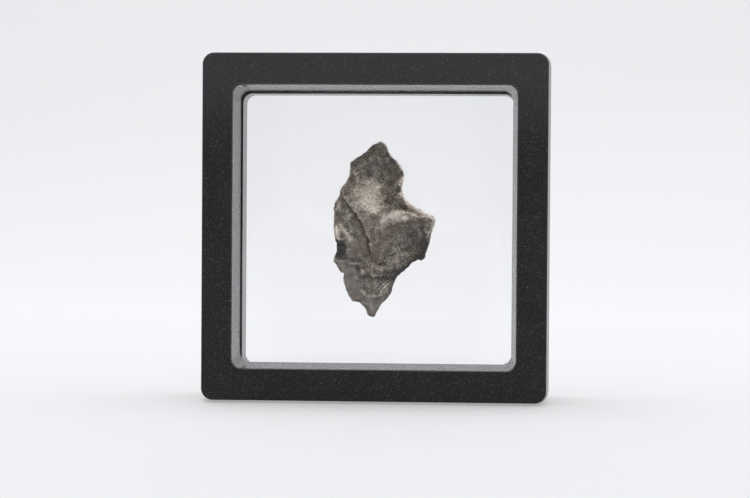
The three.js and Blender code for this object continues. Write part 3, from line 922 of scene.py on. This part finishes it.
    def tone(self, u: Grid, v: Grid, side: Side) -> Grid:
        """Brightening on what stands out and darkening in what lies deep, from the mean of a ring round each
        point, plus on the front face the listed patches and lines, some of which are painted highlights and
        painted shade.

        Args:
            u, v: Coordinates of each point.
            side: Which face.

        Returns:
            Brightening for rubbing and painted highlight, darkening for oxidation and painted shade, rust and how
            rugged the skin is for each point.
        """
        height = self.front_height if side is Side.FRONT else self.back_height
        here = height(u, v)
        deep = np.zeros_like(u)
        for radius, weight in ((0.35, 1.0), (1.1, 0.35)):
            ring = np.zeros_like(u)
            for angle in np.linspace(0, 2 * np.pi, 7)[:-1]:
                ring += height(u + radius * np.cos(angle), v + radius * np.sin(angle)) / 6
            deep += weight * (ring - here)
        wear_and_highlight = 0.04 - 1.2 * deep
        hollow_and_shade = 0.06 + 1.5 * deep + 3.5 * self.pits(u, v, 11 if side is Side.FRONT else 51)
        rust = 0.2 * smooth_step(noise(u / 3 + 5, v / 3 + 8, 91), 0.1, 0.7)
        bent_u, bent_v = self.bent(u, v)
        broken = 0.35 + 0.65 * smooth_step(noise(u / 0.45, v / 0.45, 95), -0.7, 0.2)
        # The patches and lines add rust, rubbing and oxidation, and some of them painted highlights and painted
        # shade.
        for mark in (*PATCHES, *LINES) if side is Side.FRONT else ():
            share = mark.share(bent_u, bent_v) * (broken if isinstance(mark, Line) and mark.wear_and_highlight else 1)
            wear_and_highlight = wear_and_highlight + mark.wear_and_highlight * share - 0.5 * mark.hollow_and_shade * share
            hollow_and_shade = hollow_and_shade + mark.hollow_and_shade * share - 0.3 * mark.wear_and_highlight * share
            rust = rust + mark.rust * share
        rugged = 1 - 0.8 * sum(patch.smooth * patch.share(u, v) for patch in PATCHES)
        return np.stack([np.clip(t, 0, 1) for t in (wear_and_highlight, hollow_and_shade, rust, rugged)], axis=-1)

    def build(self) -> dict[Side, Grid]:
        """Builds the piece: ring by ring, a square grid's rings take the outline's shape at a smaller size.

        Returns:
            For each side the points of its face.
        """
        line = np.linspace(-1, 1, self.cells + 1)
        a, b = np.meshgrid(line, line, indexing="ij")
        ring = np.maximum(np.abs(a), np.abs(b))
        inner = ring < 1
        sa, sb = np.array([a, b]) / np.maximum(ring, 1e-9)
        share = np.select((sa >= 1, sb >= 1, sa <= -1), (1 + sb, 3 - sa, 5 - sb), 7 + sa) / 8
        rim = self.rim(share.ravel()).reshape(*share.shape, 2)
        u, v = rim[..., 0] * ring, rim[..., 1] * ring
        border = self.rim(np.linspace(0, 1, self.outline_runs + 1))
        inward = near_path(u, v, border)[0]
        edge = np.sqrt(1 - (1 - np.clip(inward / self.edge_width, 0, 1)) ** 2) * inner
        # The two faces meet a little out of the parting plane.
        bend = 0.5 * np.sin(0.31 * u + 0.2) + 0.4 * np.sin(0.27 * v + 1.1)
        front = bend + (self.front_height(u, v) - bend) * edge
        back = bend - (self.back_height(u, v) + bend) * edge
        sides = ((Side.FRONT, front), (Side.BACK, back))
        faces = {side: np.stack([u, -height, v], axis=-1) + self.centre for side, height in sides}
        front_ids = np.arange(u.size).reshape(u.shape)
        back_ids = front_ids.copy()
        back_ids[inner] = u.size + np.arange(inner.sum())
        points = np.concatenate([faces[Side.FRONT].reshape(-1, 3), faces[Side.BACK][inner]])
        quads = np.concatenate([grid_faces(front_ids), grid_faces(back_ids)[:, ::-1]])
        piece = make_piece("meteorite_iron", points, quads)
        front_tone = self.tone(u, v, Side.FRONT).reshape(-1, 4)
        back_tone = self.tone(u[inner], v[inner], Side.BACK)
        colours = np.concatenate([front_tone, back_tone]).astype(np.float32)
        layer = piece.data.attributes.new("tone", "FLOAT_COLOR", "POINT")
        layer.data.foreach_set("color", colours.ravel())
        dress(piece, "meteorite", "meteorite", self.finish.material())
        return faces


@dataclass
class Films:
    """The two films: square sheets that stretch over the meteorite like soap films.

    A crease holds the front one up between two points, in the model's x, lift and z.
    """

    centre_height: float = 34.85
    half: float = 32.4
    span_half: float = 27.4
    lift: float = 0.1
    thickness: float = 0.05
    clearance: float = 0.04
    cells: int = 144
    levels: int = 3
    rounds: int = 700
    crease_from: Triple = (-8.4, 2.3, 35.6)
    crease_to: Triple = (-22.4, 0.5, 47.4)
    crease_points: int = 240
    finish: ClearFilm = ClearFilm()

    def least(self, cells: int, held: Grid) -> Grid:
        """Least height at each grid point: the highest of what it must clear in the cells about it.

        Args:
            cells: Cells across the free part.
            held: Points with x, lift and z that the film must clear.

        Returns:
            The heights, in rows of x and columns of z.
        """
        span = 2 * self.span_half / cells
        least = np.full((cells + 1, cells + 1), self.lift)
        i = np.clip(((held[:, 0] + self.span_half) / span).astype(int), 0, cells - 1)
        j = np.clip(((held[:, 2] - self.centre_height + self.span_half) / span).astype(int), 0, cells - 1)
        for di in (0, 1):
            for dj in (0, 1):
                np.maximum.at(least, (i + di, j + dj), held[:, 1] + self.clearance)
        least[[0, -1], :] = self.lift
        least[:, [0, -1]] = self.lift
        return least

    def stretched(self, held: Grid) -> Grid:
        """Heights of the free part, relaxed on grids that get finer.

        Each point takes the mean of its four neighbours, but no less than its least height.

        Args:
            held: Points with x, lift and z that the film must clear.

        Returns:
            The heights on the finest grid.
        """
        lift = np.full((2, 2), self.lift)
        for level in reversed(range(self.levels)):
            cells = self.cells // 2**level
            coarse = np.linspace(0, 1, len(lift))
            fine = np.linspace(0, 1, cells + 1)
            rows = np.stack([np.interp(fine, coarse, row) for row in lift])
            lift = np.stack([np.interp(fine, coarse, column) for column in rows.T], axis=1)
            least = self.least(cells, held)
            lift = np.maximum(lift, least)
            for _ in range(self.rounds):
                mean = (lift[:-2, 1:-1] + lift[2:, 1:-1] + lift[1:-1, :-2] + lift[1:-1, 2:]) / 4
                lift[1:-1, 1:-1] = np.maximum(mean, least[1:-1, 1:-1])
        return lift

    def build(self, side: Side, face: Grid) -> None:
        """Builds one film as a closed thin sheet.

        Args:
            side: Which film.
            face: Points of the meteorite's face on that side.
        """
        held = face.reshape(-1, 3) * (1, side.value, 1)
        if side is Side.FRONT:
            held = np.r_[held, np.linspace(self.crease_from, self.crease_to, self.crease_points)]
        free = self.stretched(held)
        lift = np.pad(free, 1, constant_values=self.lift)
        inner = np.linspace(-self.span_half, self.span_half, self.cells + 1)
        line = np.r_[-self.half, inner, self.half]
        x, z = np.meshgrid(line, line, indexing="ij")
        layers = [np.stack([x, side.value * (lift + extra), self.centre_height + z], axis=-1)
                  for extra in (0.0, self.thickness)]
        count = x.size
        near_ids = np.arange(count).reshape(x.shape)
        far_ids = near_ids + count
        around = np.r_[near_ids[:-1, 0], near_ids[-1, :-1], near_ids[:0:-1, -1], near_ids[0, ::-1]]
        edge = np.stack([around, around + count])
        quads = [grid_faces(near_ids), grid_faces(far_ids)[:, ::-1], grid_faces(edge)]
        points = np.concatenate([layer.reshape(-1, 3) for layer in layers])
        word = side.name.lower()
        piece = make_piece(f"{word}_clear_film", points, np.concatenate(quads))
        dress(piece, f"{word}_film", "film", self.finish.material())


@dataclass(frozen=True)
class Lamp:
    """A soft area lamp: where it is and faces, in millimetres, its size in metres and its watts."""

    name: str
    at: Triple
    to: Triple
    size: tuple[float, float]
    power: float

    def build(self) -> None:
        """Adds the lamp."""
        data = bpy.data.lights.new(self.name, "AREA")
        data.shape = "RECTANGLE"
        data.size, data.size_y = self.size
        data.energy = self.power
        lamp = bpy.data.objects.new(self.name, data)
        lamp.location = Vector(self.at) * MM
        lamp.rotation_euler = (Vector(self.to) - Vector(self.at)).to_track_quat("-Z", "Y").to_euler()
        bpy.context.collection.objects.link(lamp)


@dataclass
class Studio:
    """Pale floor that sweeps up behind, soft lights and the camera."""

    camera_at: Triple = (13.5, -304.3, 34.9)
    camera_towards: Triple = (-0.0454, 0.9989, -0.0145)
    camera_roll: float = 0.4
    lens: float = 72.0
    floor_colour: Triple = (0.45, 0.45, 0.457)
    floor_glow: float = 0.36
    lamps: tuple[Lamp, ...] = (
        Lamp("overhead", (-150, 60, 900), (0, 0, 20), (0.9, 0.7), 1.7),
        Lamp("behind", (-60, 470, 330), (0, 0, 40), (1.0, 0.16), 0.3),
        Lamp("backdrop", (0, 250, 1250), (0, 740, 430), (1.6, 0.5), 5.3),
        Lamp("right", (600, 60, 160), (35, 0, 35), (0.5, 0.5), 0.5),
    )

    def camera(self) -> None:
        """Places the camera, which looks along its direction and is rolled about it."""
        data = bpy.data.cameras.new("camera")
        data.lens = self.lens
        data.clip_start = 0.01
        camera = bpy.data.objects.new("camera", data)
        bpy.context.collection.objects.link(camera)
        turn = Vector(self.camera_towards).to_track_quat("-Z", "Y").to_matrix()
        roll = Matrix.Rotation(math.radians(self.camera_roll), 3, "Z")
        camera.matrix_world = Matrix.Translation(Vector(self.camera_at) * MM) @ (turn @ roll).to_4x4()
        bpy.context.scene.camera = camera

    def floor(self) -> None:
        """Builds the floor: level, then a quarter circle up behind, then a wall, with a plain pale finish."""
        level, bend, wall, wide = 320.0, 420.0, 1800.0, 6000.0
        arc = np.linspace(0, np.pi / 2, 33)
        y = np.r_[-wide, level + bend * np.sin(arc), level + bend]
        z = np.r_[0.0, bend - bend * np.cos(arc), bend + wall]
        x, y = np.meshgrid((-wide, 0.0, wide), y, indexing="ij")
        points = np.stack([x, y, np.tile(z, (3, 1))], axis=-1).reshape(-1, 3)
        sweep = make_piece("floor", points, grid_faces(np.arange(x.size).reshape(x.shape)))
        material, shop = new_material("pale_floor")
        base = (*self.floor_colour, 1.0)
        glow = {"Emission Color": (0.98, 0.985, 1.0, 1.0), "Emission Strength": self.floor_glow}
        shop.principled({"Base Color": base, "Roughness": 0.8, **glow})
        sweep.data.materials.append(material)

    def sky(self) -> None:
        """Lights the world softly: dim behind the camera, bright towards the back and above.

        Seen directly, past the floor's far edge, it is as pale as the floor is there.
        """
        world = bpy.data.worlds.new("studio")
        world.use_nodes = True
        shop = NodeShop(world.node_tree)
        where = shop.node("ShaderNodeTexCoord", {}, {}, "Generated")
        back, up = (shop.node("ShaderNodeSeparateXYZ", {}, {"Vector": where}, axis) for axis in "YZ")
        share = (back * 0.5 + up * 0.7 + 0.48).clamped()
        seen = shop.node("ShaderNodeLightPath", {}, {}, "Is Camera Ray")
        strength = (share * 0.84 + 0.1) * (1 - seen) + seen * 0.66
        light = shop.node("ShaderNodeBackground", {}, {"Color": (0.96, 0.98, 1.0, 1.0), "Strength": strength})
        shop.finish(light, "ShaderNodeOutputWorld")
        bpy.context.scene.world = world

    def build(self) -> None:
        """Sets the whole stage."""
        self.camera()
        self.floor()
        self.sky()
        for lamp in self.lamps:
            lamp.build()
        bpy.context.scene.view_settings.view_transform = "Standard"


def main() -> None:
    """Builds the stage and every piece of the object."""
    logging.basicConfig(level=logging.INFO, format="%(name)s %(message)s")
    Studio().build()
    mouldings = Mouldings()
    mouldings.build(Side.FRONT)
    mouldings.build(Side.BACK)
    faces = Meteorite().build()
    films = Films()
    for side in Side:
        films.build(side, faces[side])


if __name__ == "__main__":
    main()
